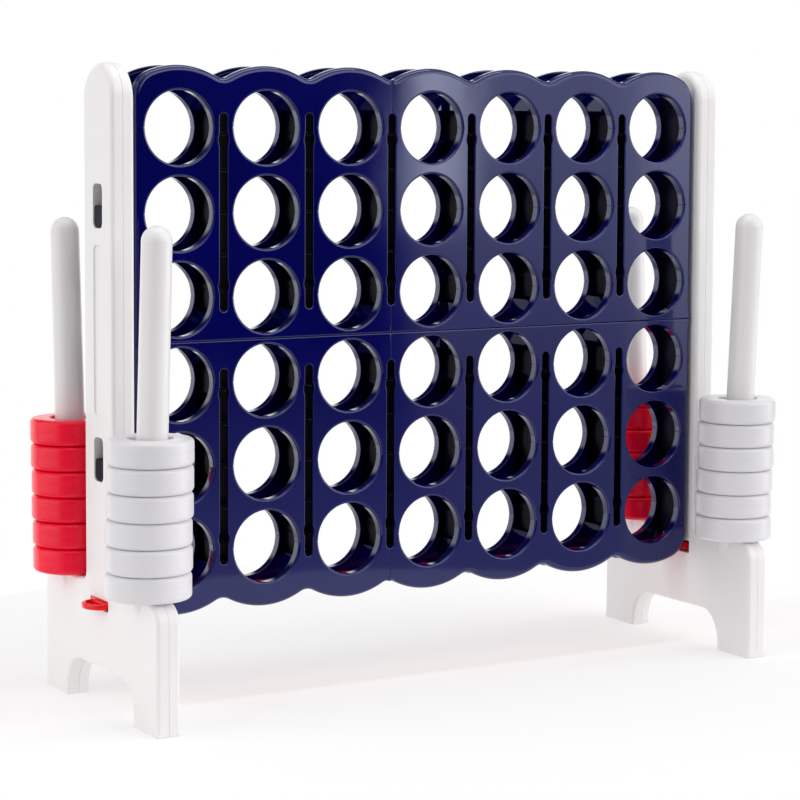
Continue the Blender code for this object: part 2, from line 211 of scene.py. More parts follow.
def facing(direction, origin):
    """Matrix of a plane that looks along direction, with its own Y up (or along +Y when it lies flat)."""
    z = Vector(direction)
    up = Vector((0, 0, 1)) if abs(z.z) < 0.5 else Vector((0, 1, 0))
    x = up.cross(z).normalized()
    y = z.cross(x)
    matrix = Matrix((x, y, z)).transposed().to_4x4()
    matrix.translation = Vector(origin)
    return matrix


def lathe(profile, segments, closed):
    """A body turned round Z from points (radius, height). A closed profile is a loop clear of the axis."""
    bm = bmesh.new()
    rings = []
    for r, z in profile:
        if r < 1e-7:
            rings.append([bm.verts.new((0.0, 0.0, z))])
            continue
        angles = [2 * math.pi * i / segments for i in range(segments)]
        rings.append([bm.verts.new((r * math.cos(a), r * math.sin(a), z)) for a in angles])
    pairs = list(zip(rings, rings[1:]))
    if closed:
        pairs.append((rings[-1], rings[0]))
    for a, b in pairs:
        for i in range(segments):
            corners = [a[i % len(a)], b[i % len(b)], b[(i + 1) % len(b)], a[(i + 1) % len(a)]]
            bm.faces.new(list(dict.fromkeys(corners)))
    bmesh.ops.recalc_face_normals(bm, faces=bm.faces[:])
    return bm


# ---- objects ---------------------------------------------------------------------------------------------

SHARP_ANGLE = math.radians(38)
FACE_WEIGHT = 80


def finish_mesh(name, bm, mat):
    mesh = bpy.data.meshes.new(name)
    bm.to_mesh(mesh)
    bm.free()
    mesh.materials.append(mat)
    mesh.shade_smooth()
    mesh.set_sharp_from_angle(angle=SHARP_ANGLE)
    return mesh


def place(name, mesh, body, node):
    obj = bpy.data.objects.new(name, mesh)
    bpy.context.scene.collection.objects.link(obj)
    weigh = obj.modifiers.new("face_weighted_normals", "WEIGHTED_NORMAL")
    weigh.keep_sharp = True
    weigh.weight = FACE_WEIGHT
    weigh.use_face_influence = True
    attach(obj, body)
    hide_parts(node)
    return obj


# ---- materials -------------------------------------------------------------------------------------------

class Nodes:
    """A new material with short calls for the nodes that the plastics share."""

    def __init__(self, name):
        self.mat = bpy.data.materials.new(name)
        self.mat.use_nodes = True
        self.tree = self.mat.node_tree
        self.shader = self.tree.nodes["Principled BSDF"]

    def link(self, source, socket):
        self.tree.links.new(source, socket)

    def ramp(self, source, low, high, low_value, high_value):
        node = self.tree.nodes.new("ShaderNodeMapRange")
        node.inputs["From Min"].default_value = low
        node.inputs["From Max"].default_value = high
        node.inputs["To Min"].default_value = low_value
        node.inputs["To Max"].default_value = high_value
        self.link(source, node.inputs["Value"])
        return node.outputs["Result"]

    def noise(self, coords, scale, detail, rough):
        node = self.tree.nodes.new("ShaderNodeTexNoise")
        node.inputs["Scale"].default_value = scale
        node.inputs["Detail"].default_value = detail
        node.inputs["Roughness"].default_value = rough
        self.link(coords, node.inputs["Vector"])
        return node.outputs["Fac"]

    def scaled(self, source, factor, plus=0.0):
        """Source times factor plus a number or another output."""
        node = self.tree.nodes.new("ShaderNodeMath")
        node.operation = "MULTIPLY_ADD"
        self.link(source, node.inputs[0])
        node.inputs[1].default_value = factor
        if isinstance(plus, float):
            node.inputs[2].default_value = plus
        else:
            self.link(plus, node.inputs[2])
        return node.outputs[0]

    def bump(self, height, distance, strength, under=None):
        node = self.tree.nodes.new("ShaderNodeBump")
        node.inputs["Distance"].default_value = distance
        node.inputs["Strength"].default_value = strength
        self.link(height, node.inputs["Height"])
        if under:
            self.link(under, node.inputs["Normal"])
        return node.outputs["Normal"]


def plastic(name, colour, roughness, variation, grain=0.00003, waves=0.00012, spread=0.06, specular=0.5,
            tint=(1.0, 1.0, 1.0)):
    """Moulded plastic: colour that drifts a little, patchy gloss, a fine grain, slow waves and a few scuffs.

    Variation is the colour's drift either way and spread the gloss's. Grain and waves are heights in metres.
    """
    n = Nodes(name)
    shader = n.shader

    # Each piece looks at its own stretch of the noise, so two alike never have the same marks.
    coords = n.tree.nodes.new("ShaderNodeTexCoord").outputs["Object"]
    info = n.tree.nodes.new("ShaderNodeObjectInfo").outputs["Random"]
    shift = n.tree.nodes.new("ShaderNodeVectorMath")
    shift.operation = "ADD"
    n.link(coords, shift.inputs[0])
    n.link(n.scaled(info, 7.0), shift.inputs[1])
    where = shift.outputs[0]
    clouds = n.noise(where, 9.0, 4.0, 0.55)
    fine = n.noise(where, 900.0, 2.0, 0.6)
    slow = n.noise(where, 14.0, 1.0, 0.4)
    stretch = n.tree.nodes.new("ShaderNodeMapping")
    stretch.inputs["Scale"].default_value = (1.0, 1.0, 5.0)
    stretch.inputs["Rotation"].default_value = (0.3, 0.7, 0.2)
    n.link(where, stretch.inputs["Vector"])
    scuffs = n.ramp(n.noise(stretch.outputs["Vector"], 60.0, 6.0, 0.75), 0.66, 0.80, 0.0, 1.0)

    ramp = n.tree.nodes.new("ShaderNodeValToRGB")
    changes = (1 - variation, 1 + variation)
    for element, position, change in zip(ramp.color_ramp.elements, (0.3, 0.7), changes):
        element.position = position
        element.color = (*(min(1.0, c * change) for c in colour), 1.0)
    n.link(clouds, ramp.inputs["Fac"])
    n.link(ramp.outputs["Color"], shader.inputs["Base Color"])

    patches = n.ramp(clouds, 0.3, 0.7, roughness - spread / 2, roughness + spread / 2)
    n.link(n.scaled(scuffs, 0.12, patches), shader.inputs["Roughness"])
    n.link(n.bump(fine, grain, 0.6, n.bump(slow, waves, 1.0)), shader.inputs["Normal"])
    shader.inputs["Specular IOR Level"].default_value = specular
    shader.inputs["Specular Tint"].default_value = (*tint, 1.0)
    return n.mat


WHITE = plastic("white_moulded", (0.82, 0.80, 0.80), 0.42, 0.015)
WHITE_RING = plastic("white_ring_moulded", (0.73, 0.715, 0.74), 0.36, 0.015)
WHITE_POST = plastic("white_post_moulded", (0.80, 0.78, 0.78), 0.33, 0.015)
RED_RING = plastic("red_ring_moulded", (0.92, 0.001, 0.032), 0.27, 0.05, specular=0.33)
RED_BAR = plastic("red_bar_moulded", (0.86, 0.001, 0.006), 0.20, 0.04, specular=0.4)
NAVY = plastic("navy_gloss_moulded", (0.0005, 0.0006, 0.078), 0.05, 0.12, grain=0.000003, waves=0.00008,
               spread=0.02, specular=0.7, tint=(0.78, 0.82, 1.0))
# Painted shade: the board's navy darkened almost to black, with hardly any reflection, so the dividers seen
# through the slots look shadowed.
NAVY_PAINTED_SHADE = plastic("navy_painted_shade_moulded", (0.0006, 0.0006, 0.007), 0.30, 0.12, specular=0.03)
NAVY_END = plastic("navy_end_moulded", (0.0060, 0.0055, 0.018), 0.35, 0.12, specular=0.03)


# ---- board panels ----------------------------------------------------------------------------------------

OUTER_EDGE = 0.009      # edge radii of a panel, all round and at its seams, slots and windows
SEAM_EDGE = 0.0022
SIDE_SEAM_EDGE = 0.0005
SLOT_EDGE = 0.0016
WINDOW_EDGE = 0.0036
PANEL_DEPTH = 0.017     # how far a panel's rim and its windows' collars reach back
PANEL_WALL = 0.003
WINDOW_R = 0.0604
WINDOW_NOTCH = 0.0007
NOTCH_HALF = 0.0012
SLOT_LOW = 0.0465       # a slot's ends, half width and bulges, as heights above the seam
SLOT_HIGH = 0.3695
SLOT_HALF = 0.00725
BULGES = (0.088, 0.326)
BULGE_HALF = 0.011
BULGE_OUT = 0.0025
GAP = 0.0003            # what neighbouring pieces stand apart


def column_x(column):
    return (column - 3) * PITCH_X


def slot_side():
    """The slot's right side from its lower tip to its upper tip, as offsets from its middle line."""
    low = SLOT_LOW + SLOT_HALF
    high = SLOT_HIGH - SLOT_HALF
    points = arc(0.0, low, SLOT_HALF, -90, 0, 8)
    for centre in BULGES:
        for t in np.linspace(-1, 1, 13):
            out = BULGE_OUT * (0.5 + 0.5 * math.cos(math.pi * t)) ** 0.6
            points.append((SLOT_HALF + out, centre + BULGE_HALF * t))
    points += arc(0.0, high, SLOT_HALF, 0, 90, 8)
    return points


def slot_loop(x):
    """A whole slot about its middle line."""
    side = slot_side()
    right = [(x + u, z) for u, z in side]
    left = [(x - u, z) for u, z in side[1:-1]]
    return right + left[::-1]


def top_edge(first, last):
    """The humps and dips over columns first to last, left to right."""
    # Where a hump meets the dip beside it: the angle at both centres, and the height of the dip's centre.
    tangent = math.degrees(math.acos(PITCH_X / 2 / (HUMP_R + NOTCH_R)))
    notch_z = HUMP_Z + (HUMP_R + NOTCH_R) * math.sin(math.radians(tangent))
    corner_x = HALF_WIDTH - CORNER_R
    reach = corner_x - column_x(COLUMNS - 1)
    corner_z = HUMP_Z + math.sqrt((HUMP_R - CORNER_R) ** 2 - reach ** 2)
    corner_angle = math.degrees(math.atan2(corner_z - HUMP_Z, reach))
    points = []
    for column in range(first, last + 1):
        x = column_x(column)
        start, end = 180 - tangent, tangent
        if column == 0:
            start = 180 - corner_angle
            points += arc(-corner_x, corner_z, CORNER_R, 180, start, 10)[:-1]
        if column == COLUMNS - 1:
            end = corner_angle
        points += arc(x, HUMP_Z, HUMP_R, start, end, 18)
        if column == COLUMNS - 1:
            points += arc(corner_x, corner_z, CORNER_R, end, 0, 10)[1:]
        if column < last:
            points += arc(x + PITCH_X / 2, notch_z, NOTCH_R, 180 + tangent, 360 - tangent, 10)[1:-1]
    if first > 0:
        points = arc(SEAM_X, notch_z, NOTCH_R, 270, 360 - tangent, 6)[:-1] + points
    if last < COLUMNS - 1:
        points += arc(SEAM_X, notch_z, NOTCH_R, 180 + tangent, 270, 6)[1:]
    return points


def straight(a, b, step=0.012):
    """Evenly spaced points from a up to, but not at, b."""
    count = max(1, round(math.dist(a, b) / step))
    return [(a[0] + (b[0] - a[0]) * i / count, a[1] + (b[1] - a[1]) * i / count) for i in range(count)]


def edged(points, radius):
    """Outline points with the radius of the edge there."""
    return [(x, z, radius) for x, z in points]


def panel_loops(first, last):
    """Outline and windows of an upper panel. Each outline point has its own edge radius."""
    top = top_edge(first, last)
    loop = edged(top, OUTER_EDGE)
    half_slot = slot_side()
    half_slot = half_slot[:1] + half_slot[2:-2] + half_slot[-1:]
    bottom = GAP / 2
    if last < COLUMNS - 1:
        seam = SEAM_X - GAP / 2
        loop[-1] = (seam, loop[-1][1], SIDE_SEAM_EDGE)
        loop[-2] = (loop[-2][0], loop[-2][1], 0.005)
        loop += edged(straight((seam, top[-1][1] - 0.009), (seam, SLOT_HIGH + 0.004)), SIDE_SEAM_EDGE)
        loop += edged([(seam - u, z) for u, z in reversed(half_slot)], SLOT_EDGE)
        loop += edged(straight((seam, SLOT_LOW - 0.004), (seam, 0.006)), SIDE_SEAM_EDGE)
        right = seam
    else:
        right = HALF_WIDTH
        loop += edged(straight((right, top[-1][1] - 0.01), (right, 0.014)), OUTER_EDGE)
        loop.append((right, 0.007, 0.006))
    loop.append((right, bottom, SEAM_EDGE))
    left = SEAM_X + GAP / 2 if first > 0 else -HALF_WIDTH
    inset_x = 0.003 if first > 0 else 0.006
    loop += [(x, bottom, SEAM_EDGE) for x, _ in straight((right - 0.006, 0), (left + inset_x, 0))]
    loop.append((left, bottom, SEAM_EDGE))
    if first > 0:
        loop += edged(straight((left, 0.006), (left, SLOT_LOW - 0.004)), SIDE_SEAM_EDGE)
        loop += edged([(left + u, z) for u, z in half_slot], SLOT_EDGE)
        loop += edged(straight((left, SLOT_HIGH + 0.004), (left, top[0][1] - 0.009)), SIDE_SEAM_EDGE)
        loop[0] = (left, loop[0][1], SIDE_SEAM_EDGE)
        loop[1] = (loop[1][0], loop[1][1], 0.005)
    else:
        loop.append((left, 0.007, 0.006))
        loop += edged(straight((left, 0.014), (left, top[0][1] - 0.01)), OUTER_EDGE)
    windows = [(column_x(c), (r + 0.5) * PITCH_Z) for c in range(first, last + 1) for r in range(ROWS // 2)]
    slots = [column_x(c) + PITCH_X / 2 for c in range(first, last)]
    return loop, windows, slots


def window_loop(x, z):
    """A window with a fine notch across its collar at either side."""
    half = math.degrees(NOTCH_HALF / WINDOW_R)
    loop = []
    for start in (0, 180):
        for r, a in ((WINDOW_R, start - half), (WINDOW_R + WINDOW_NOTCH, start), (WINDOW_R, start + half)):
            loop.append((x + r * math.cos(math.radians(a)), z + r * math.sin(math.radians(a))))
        loop += arc(x, z, WINDOW_R, start + 5, start + 175, 42)
    return loop


def build_panel(name, first, last, upper, rear):
    loop, windows, slots = panel_loops(first, last)
    flip = 1.0 if upper else -1.0
    loop = [(x, flip * z, r) for x, z, r in loop]
    loop = turned(loop, True)
    outline = [(x, z) for x, z, _ in loop]
    radii = np.array([r for _, _, r in loop])
    loops = [(outline, rim_rings(radii, PANEL_DEPTH, PANEL_WALL, 6), "through")]
    for x, z in windows:
        ring = window_loop(x, flip * z)
        collar = rim_rings(np.full(len(ring), WINDOW_EDGE), PANEL_DEPTH, PANEL_WALL, 6)
        loops.append((ring, collar, "through"))
    for x in slots:
        points = [(u, flip * z) for u, z in slot_loop(x)]
        loops.append((points, edge_rings(SLOT_EDGE, 3) + [(0.0, PANEL_WALL)], "through"))
    back = 1.0 if rear else -1.0
    matrix = facing((0, back, 0), (0, back * FACE_Y, BOARD_Z))
    mesh = finish_mesh(name + "_moulding", loft(loops, matrix), NAVY)
    place(name + "_moulding", mesh, "frame", name)


def build_panels():
    for upper, level in ((True, "upper"), (False, "lower")):
        build_panel(f"front_{level}_left_panel", 0, 2, upper, False)
        build_panel(f"front_{level}_right_panel", 3, 6, upper, False)
        build_panel(f"rear_{level}_right_panel", 0, 2, upper, True)
        build_panel(f"rear_{level}_left_panel", 3, 6, upper, True)


# ---- dividers and end walls ------------------------------------------------------------------------------

RUNGS = (0.081, PITCH_Z, 0.20745, 2 * PITCH_Z, 0.335)   # heights of a divider's rungs above the seam
RUNG_HALF = 0.001
DIVIDER_HALF = 0.009
RUNG_GAP_HALF = 0.0068
BETWEEN_HALF = FACE_Y - PANEL_WALL - GAP                # from the middle to the back of a panel's face
END_WALL_X = 0.5457
END_WALL_DEPTH = 0.0029
END_WALL_HEIGHT = (0.006, 0.400)
HOOK_TIP_X = 0.5983
HOOK_LENGTH = 0.0508
HOOK_HEIGHT = 0.036
HOOK_LIP_X = 0.5723
HOOK_LIP_DROP = 0.0196


def build_dividers():
    depth = 2 * BETWEEN_HALF
    half = DIVIDER_HALF
    low, high = SLOT_LOW + 0.01, SLOT_HIGH - 0.01
    side = [(max(u, half - 0.0008) + 0.0008, z) for u, z in slot_side() if low < z < high]
    levels = [SLOT_LOW - 0.0004, *RUNGS, SLOT_HIGH + 0.0004]
    for flip, level in ((1, "upper"), (-1, "lower")):
        outline = arc(0, SLOT_LOW + 0.003, half, -180, 0, 10) + side
        outline += arc(0, SLOT_HIGH - 0.003, half, 0, 180, 10) + [(-u, z) for u, z in reversed(side)]
        outline = [(x, flip * z) for x, z in outline]
        loops = [(outline, slab_rings(0.0006, 0.0006, depth, 2, groove=0.0004), "through")]
        for below, above in zip(levels, levels[1:]):
            z0, z1 = sorted((flip * (below + RUNG_HALF), flip * (above - RUNG_HALF)))
            points = rounded_box(-RUNG_GAP_HALF, RUNG_GAP_HALF, z0, z1, 0.003, 4)
            loops.append((points, slab_rings(0.0005, 0.0005, depth, 2), "through"))
        for number in range(1, COLUMNS):
            name = f"{level}_divider_{number}"
            x = column_x(number - 1) + PITCH_X / 2
            matrix = facing((0, -1, 0), (x, -depth / 2, BOARD_Z))
            # The strips carry the navy painted shade, a darkened copy of the board's navy.
            mesh = finish_mesh(name + "_strip", loft(loops, matrix), NAVY_PAINTED_SHADE)
            place(name + "_strip", mesh, "frame", name)


def hook_tip(low, high):
    """The hook seen from its tip: small lower corners and a nearly square top."""
    return (arc(-0.0075, low + 0.009, 0.009, 180, 270, 6) + arc(0.0075, low + 0.009, 0.009, 270, 360, 6)
            + arc(0.0115, high - 0.005, 0.005, 0, 80, 4) + arc(-0.0115, high - 0.005, 0.005, 100, 180, 4))


def build_end_walls():
    for flip, (level, slot_low) in zip((1, -1), HOOK_SLOTS):
        for side, word in ((-1, "left"), (1, "right")):
            name = f"{word}_{level}_end_wall"
            z0, z1 = sorted(flip * z for z in END_WALL_HEIGHT)
            wall = rounded_box(-BETWEEN_HALF, BETWEEN_HALF, z0, z1, 0.004)
            matrix = facing((-side, 0, 0), (side * END_WALL_X, 0, BOARD_Z))
            bm = loft([(wall, slab_rings(0.0006, 0.0006, END_WALL_DEPTH, 2), "through")], matrix)
            low, high = slot_low + GAP, slot_low + HOOK_HEIGHT
            matrix = facing((side, 0, 0), (side * HOOK_TIP_X, 0, 0))
            tip = hook_tip(low, high)
            bm = loft([(tip, slab_rings(0.0022, 0.0006, HOOK_LENGTH, 4), "through")], matrix, bm)
            lip = rounded_box(-0.0165, 0.0165, low - HOOK_LIP_DROP, low + 0.006, 0.003)
            matrix = facing((side, 0, 0), (side * HOOK_LIP_X, 0, 0))
            bm = loft([(lip, slab_rings(0.0012, 0.0012, 0.0075, 3), "through")], matrix, bm)
            mesh = finish_mesh(name + "_with_hook", bm, NAVY_END)
            place(name + "_with_hook", mesh, "frame", name)


# ---- uprights --------------------------------------------------------------------------------------------

SIDE_EDGE = 0.0065      # edge radii of a shell at its sides, its crown, its arch and under its feet
CROWN_EDGE = 0.012
ARCH_EDGE = 0.005
SOLE_EDGE = 0.003
FOOT_Y = 0.218
SHOULDER_R = 0.032
SHELL_WALL = 0.0038
SLOT_LIP = 0.0012       # edge radius of the slots in a shell
HOOK_SLOT_HALF = 0.0175
HOOK_SLOT_HEIGHT = 0.071
BAR_SLOT_DEPTH = 0.008
OUTER_BAR_SLOT = (0.0345, 0.1672, 0.1842)   # half width, lower and upper edge
INNER_BAR_SLOT = (0.0420, 0.1650, 0.1870)
RECESS = (0.0165, 0.4815, 0.7553)


def upright_loop():
    """Outline seen from the side with its edge radii, from the top down the +Y half and back up."""
    crown = arc(0, CROWN_Z, COLUMN_HALF, 90, 0, 22)
    half = [(y, z, SIDE_EDGE + (CROWN_EDGE - SIDE_EDGE) * (z - CROWN_Z) / COLUMN_HALF) for y, z in crown]
    half += edged(straight((COLUMN_HALF, 0.97), (COLUMN_HALF, 0.235), 0.04), SIDE_EDGE)
    half += edged(arc(COLUMN_HALF + 0.015, SHOULDER_Z + 0.015, 0.015, 180, 270, 8), SIDE_EDGE)
    half += edged(straight((0.085, SHOULDER_Z), (0.18, SHOULDER_Z), 0.02), SIDE_EDGE)
    half += edged(arc(FOOT_Y - SHOULDER_R, SHOULDER_Z - SHOULDER_R, SHOULDER_R, 90, 0, 10), SIDE_EDGE)
    half += edged(straight((FOOT_Y, 0.16), (FOOT_Y, 0.02), 0.03), SIDE_EDGE)
    half += [(FOOT_Y, 0.012, 0.0055), (FOOT_Y, 0.006, 0.0035)]
    half += edged([(0.2172, 0.0015), (0.2145, 0.0)], 0.0020)
    half += edged(straight((0.205, 0.0), (0.1385, 0.0), 0.02), SOLE_EDGE)
    half += edged([(0.1315, 0.0), (0.1288, 0.0015)], 0.0020)
    half.append((0.128, 0.006, 0.0035))
    half += edged(arc(0.082, 0.010, (0.046, ARCH_Z - 0.010), 0, 90, 14), ARCH_EDGE)
    half += edged(straight((0.06, ARCH_Z), (0.0, ARCH_Z), 0.03), ARCH_EDGE)
    left = [(-y, z, r) for y, z, r in reversed(half[1:])]
    return half + [(0.0, ARCH_Z, ARCH_EDGE)] + left


def socket_bulge(side, front, outward):
    """Cone on one half of a foot, where the post's socket is wider than the foot is thick."""
    profile = [(0.0, 0.0), (0.0262, 0.0), (0.0262, -0.004), (0.0246, -0.012), (0.0195, -0.048), (0.0, -0.048)]
    bm = lathe(profile, 64, False)
    lean = Matrix.Rotation(-front * LEAN, 4, "X")
    bm.transform(Matrix.Translation((side * MID_X, front * (POST_Y - 0.0025), SHOULDER_Z - 0.0006)) @ lean)
    cut = bmesh.ops.bisect_plane(bm, geom=bm.verts[:] + bm.edges[:] + bm.faces[:], clear_inner=True,
                                 plane_co=(side * MID_X + outward * 0.001, 0, 0), plane_no=(outward, 0, 0))
    edges = [part for part in cut["geom_cut"] if isinstance(part, bmesh.types.BMEdge)]
    bmesh.ops.contextual_create(bm, geom=edges)
    return scratch_object(bm)


def scratch_object(bm):
    bmesh.ops.recalc_face_normals(bm, faces=bm.faces[:])
    mesh = bpy.data.meshes.new("scratch")
    bm.to_mesh(mesh)
    bm.free()
    obj = bpy.data.objects.new("scratch", mesh)
    bpy.context.scene.collection.objects.link(obj)
    return obj


def united(bm, others):
    """The closed body of bm with other closed bodies merged into it."""
    base = scratch_object(bm)
    for other in others:
        join = base.modifiers.new("union", "BOOLEAN")
        join.operation = "UNION"
        join.object = other
    result = bmesh.new()
    evaluated = base.evaluated_get(bpy.context.evaluated_depsgraph_get())
    result.from_mesh(evaluated.to_mesh())
    evaluated.to_mesh_clear()
    for obj in (base, *others):
        mesh = obj.data
        bpy.data.objects.remove(obj)
        bpy.data.meshes.remove(mesh)
    bmesh.ops.dissolve_degenerate(result, dist=0.00001, edges=result.edges[:])
    return result


def slot_through(points, depth, lip, wall, steps):
    """A slot in a shell, with a rounded edge and a collar that reaches back to depth."""
    return points, rim_rings(np.full(len(points), SLOT_LIP), depth, wall, steps, lip), "through"


def build_uprights():
    loop = upright_loop()
    loop = turned(loop, True)
    outline = [(y, z) for y, z, _ in loop]
    radii = np.array([r for _, _, r in loop])
    # Profile of the long shallow recess in the outer shell: distance in from its rim and depth.
    recess = ((0.0, 0.0), (0.0006, 0.0003), (0.0014, 0.0012), (0.0018, 0.0022), (0.0026, 0.0029),
              (0.0040, 0.0030))
    for side, word in ((-1, "left"), (1, "right")):
        for outer in (True, False):
            name = f"{word}_upright_{'outer' if outer else 'inner'}_shell"
            loops = [(outline, rim_rings(radii, SHELL_DEPTH, SHELL_WALL, 7, 0.00025), "through")]
            for _, low in HOOK_SLOTS:
                points = rounded_box(-HOOK_SLOT_HALF, HOOK_SLOT_HALF, low, low + HOOK_SLOT_HEIGHT, 0.0095, 8)
                loops.append(slot_through(points, SHELL_DEPTH - 0.0002, 0.0004, 0.002, 4))
            half, low, high = OUTER_BAR_SLOT if outer else INNER_BAR_SLOT
            points = rounded_box(-half, half, low, high, 0.002)
            loops.append(slot_through(points, BAR_SLOT_DEPTH, 0.0003, 0.0015, 3))
            if outer:
                half, low, high = RECESS
                points = rounded_box(-half, half, low, high, 0.009)
                loops.append((points, [(0.001 - d, z) for d, z in recess], "pocket"))
            direction = side if outer else -side
            x = side * (EDGE_X if outer else INNER_X)
            bm = loft(loops, facing((direction, 0, 0), (x, 0, 0)))
            bm = united(bm, [socket_bulge(side, front, direction) for front in (-1, 1)])
            mesh = finish_mesh(name + "_moulding", bm, WHITE)
            place(name + "_moulding", mesh, "frame", name)


# ---- posts, rings and release bars -----------------------------------------------------------------------

POST_TOP_R = 0.0243
POST_FOOT_R = 0.0253
PLUG_R = 0.0134         # the part of a post that sits in the foot's socket
PLUG_LENGTH = 0.0548
RING_HALF = 0.02105     # half a ring's height, then its outer and hole radii and their edge radii
RING_R = 0.0685
RING_HOLE_R = 0.035
RING_EDGE = 0.0075
RING_HOLE_EDGE = 0.0035
RINGS_PER_POST = 6
BAR_TOP = 0.1834
BAR_HALF = 0.0265       # half widths of a release bar between the panels, at its shoulders and at its tongue
BAR_SHOULDER_HALF = 0.0338
TONGUE_HALF = 0.0315
BAR_SHOULDER_X = 0.557
BAR_END_X = 0.5985      # end of the flat bar and middle of the tongue's round end
TONGUE_ROOT_X = 0.5885
TONGUE_Z = 0.1790
MOULD_LINE = 0.0006     # half width of the fine line round a ring's middle, and its depth
MOULD_LINE_DEPTH = 0.00035


def build_posts():
    crown = POST_LENGTH - POST_TOP_R
    turns = [math.radians(a) for a in range(90, -1, -6)]
    profile = [(POST_TOP_R * math.cos(t), crown + POST_TOP_R * math.sin(t)) for t in turns]
    profile[0] = (0.0, POST_LENGTH)
    taper = POST_FOOT_R - POST_TOP_R
    profile += [(POST_TOP_R + taper * t, crown * (1 - t)) for t in (0.25, 0.5, 0.75)]
    profile += [(POST_FOOT_R, 0.003), (0.0250, 0.0022), (POST_TOP_R, 0.0018)]
    profile += [(PLUG_R, 0.0018), (0.0132, -0.0535), (0.0120, -PLUG_LENGTH), (0.0, -PLUG_LENGTH)]
    mesh = finish_mesh("post_turned", lathe(profile, 56, False), WHITE_POST)
    for front, row in ((-1, "front"), (1, "rear")):
        for side, word in ((-1, "left"), (1, "right")):
            name = f"{row}_{word}_post"
            obj = place(name + "_moulding", mesh, "frame", name)
            obj.location = (side * MID_X, front * POST_Y, SHOULDER_Z)
            obj.rotation_euler = (-front * LEAN, 0.0, 0.0)


def ring_profile():
    """Half the ring's section, once round: rounded outer edges, a fine mould line, rounded hole edges."""
    outer, inner = RING_R - RING_EDGE, RING_HOLE_R + RING_HOLE_EDGE
    upper, lower = RING_HALF - RING_EDGE, RING_EDGE - RING_HALF
    hole_upper, hole_lower = RING_HALF - RING_HOLE_EDGE, RING_HOLE_EDGE - RING_HALF
    points = arc(outer, upper, RING_EDGE, 90, 0, 6)
    points += [(RING_R, MOULD_LINE), (RING_R - MOULD_LINE_DEPTH, 0.0), (RING_R, -MOULD_LINE)]
    points += arc(outer, lower, RING_EDGE, 0, -90, 6)
    points += arc(inner, hole_lower, RING_HOLE_EDGE, 270, 180, 6)
    points += arc(inner, hole_upper, RING_HOLE_EDGE, 180, 90, 6)
    return points


def build_rings():
    for row, mat, slot in (("front", WHITE_RING, "white_ring"), ("rear", RED_RING, "red_ring")):
        mesh = finish_mesh(f"{row}_ring_turned", lathe(ring_profile(), 80, True), mat)
        for word in ("left", "right"):
            for number in range(1, RINGS_PER_POST + 1):
                name = f"{row}_{word}_ring_{number}"
                low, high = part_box(name)
                obj = place(name + "_moulding", mesh, name, name)
                obj.location = [(a + b) / 2 for a, b in zip(low, high)]


def build_release_bars():
    half_body = [(GAP, -BAR_HALF), (BAR_SHOULDER_X, -BAR_HALF)]
    half_body += [(BAR_SHOULDER_X, -BAR_SHOULDER_HALF), (BAR_END_X, -BAR_SHOULDER_HALF)]
    body = half_body + [(x, -y) for x, y in reversed(half_body)]
    tongue = [(TONGUE_ROOT_X, TONGUE_HALF), (TONGUE_ROOT_X, -TONGUE_HALF)]
    tongue += arc(BAR_END_X, 0, (0.0295, TONGUE_HALF), -90, 90, 40)
    dish = arc(BAR_END_X + 0.002, 0, (0.0228, 0.0262), -90, 90, 30)
    # Profile of the dish in the tongue: distance in from its rim and depth.
    groove = ((0.0, 0.0), (0.0007, 0.0003), (0.0014, 0.0012), (0.0018, 0.0046), (0.0026, 0.0054))
    for side, word in ((-1, "left"), (1, "right")):
        name = f"{word}_release_bar"
        outline, lobe, hollow = ([(side * x, y) for x, y in points] for points in (body, tongue, dish))
        loops = [(outline, slab_rings(0.0010, 0.0010, 0.0118, 3), "through")]
        bm = loft(loops, facing((0, 0, 1), (0, 0, BAR_TOP)))
        loops = [(lobe, slab_rings(0.0026, 0.0026, 0.0088, 5), "through")]
        loops.append((hollow, [(-d, z) for d, z in groove], "pocket"))
        bm = loft(loops, facing((0, 0, 1), (0, 0, TONGUE_Z)), bm)
        mesh = finish_mesh(name + "_moulding", bm, RED_BAR)
        place(name + "_moulding", mesh, name, name)


# ---- stage -----------------------------------------------------------------------------------------------

FLOOR_R = 1.05


def build_stage():
    """A pale disc that glows a little, so that it is nearly as light as the white round it."""
    mesh = bpy.data.meshes.new("floor")
    rim = [(x, y, 0.0) for x, y in circle(0.0, 0.0, FLOOR_R, 96)]
    mesh.from_pydata(rim, [], [tuple(range(len(rim)))])
    floor = bpy.data.objects.new("floor", mesh)
    mat = bpy.data.materials.new("pale_floor")
    mat.use_nodes = True
    shader = mat.node_tree.nodes["Principled BSDF"]
    shader.inputs["Base Color"].default_value = (0.5, 0.5, 0.5, 1)
    shader.inputs["Roughness"].default_value = 0.9
    shader.inputs["Specular IOR Level"].default_value = 0.0
    shader.inputs["Emission Color"].default_value = (1, 1, 1, 1)
    shader.inputs["Emission Strength"].default_value = 0.5
    mesh.materials.append(mat)
    bpy.context.scene.collection.objects.link(floor)


def area_light(name, location, target, size, radiance):
    """A softbox of a given brightness, whatever its size."""
    data = bpy.data.lights.new(name, "AREA")
    data.shape = "RECTANGLE"
    data.size, data.size_y = size
    data.energy = radiance * math.pi * size[0] * size[1]
    obj = bpy.data.objects.new(name, data)
    obj.location = location
    obj.rotation_euler = (Vector(target) - Vector(location)).to_track_quat("-Z", "Y").to_euler()
    bpy.context.scene.collection.objects.link(obj)


UP = (0.0, 0.0, 1.0)
DOWN = (0.0, 0.0, -1.0)


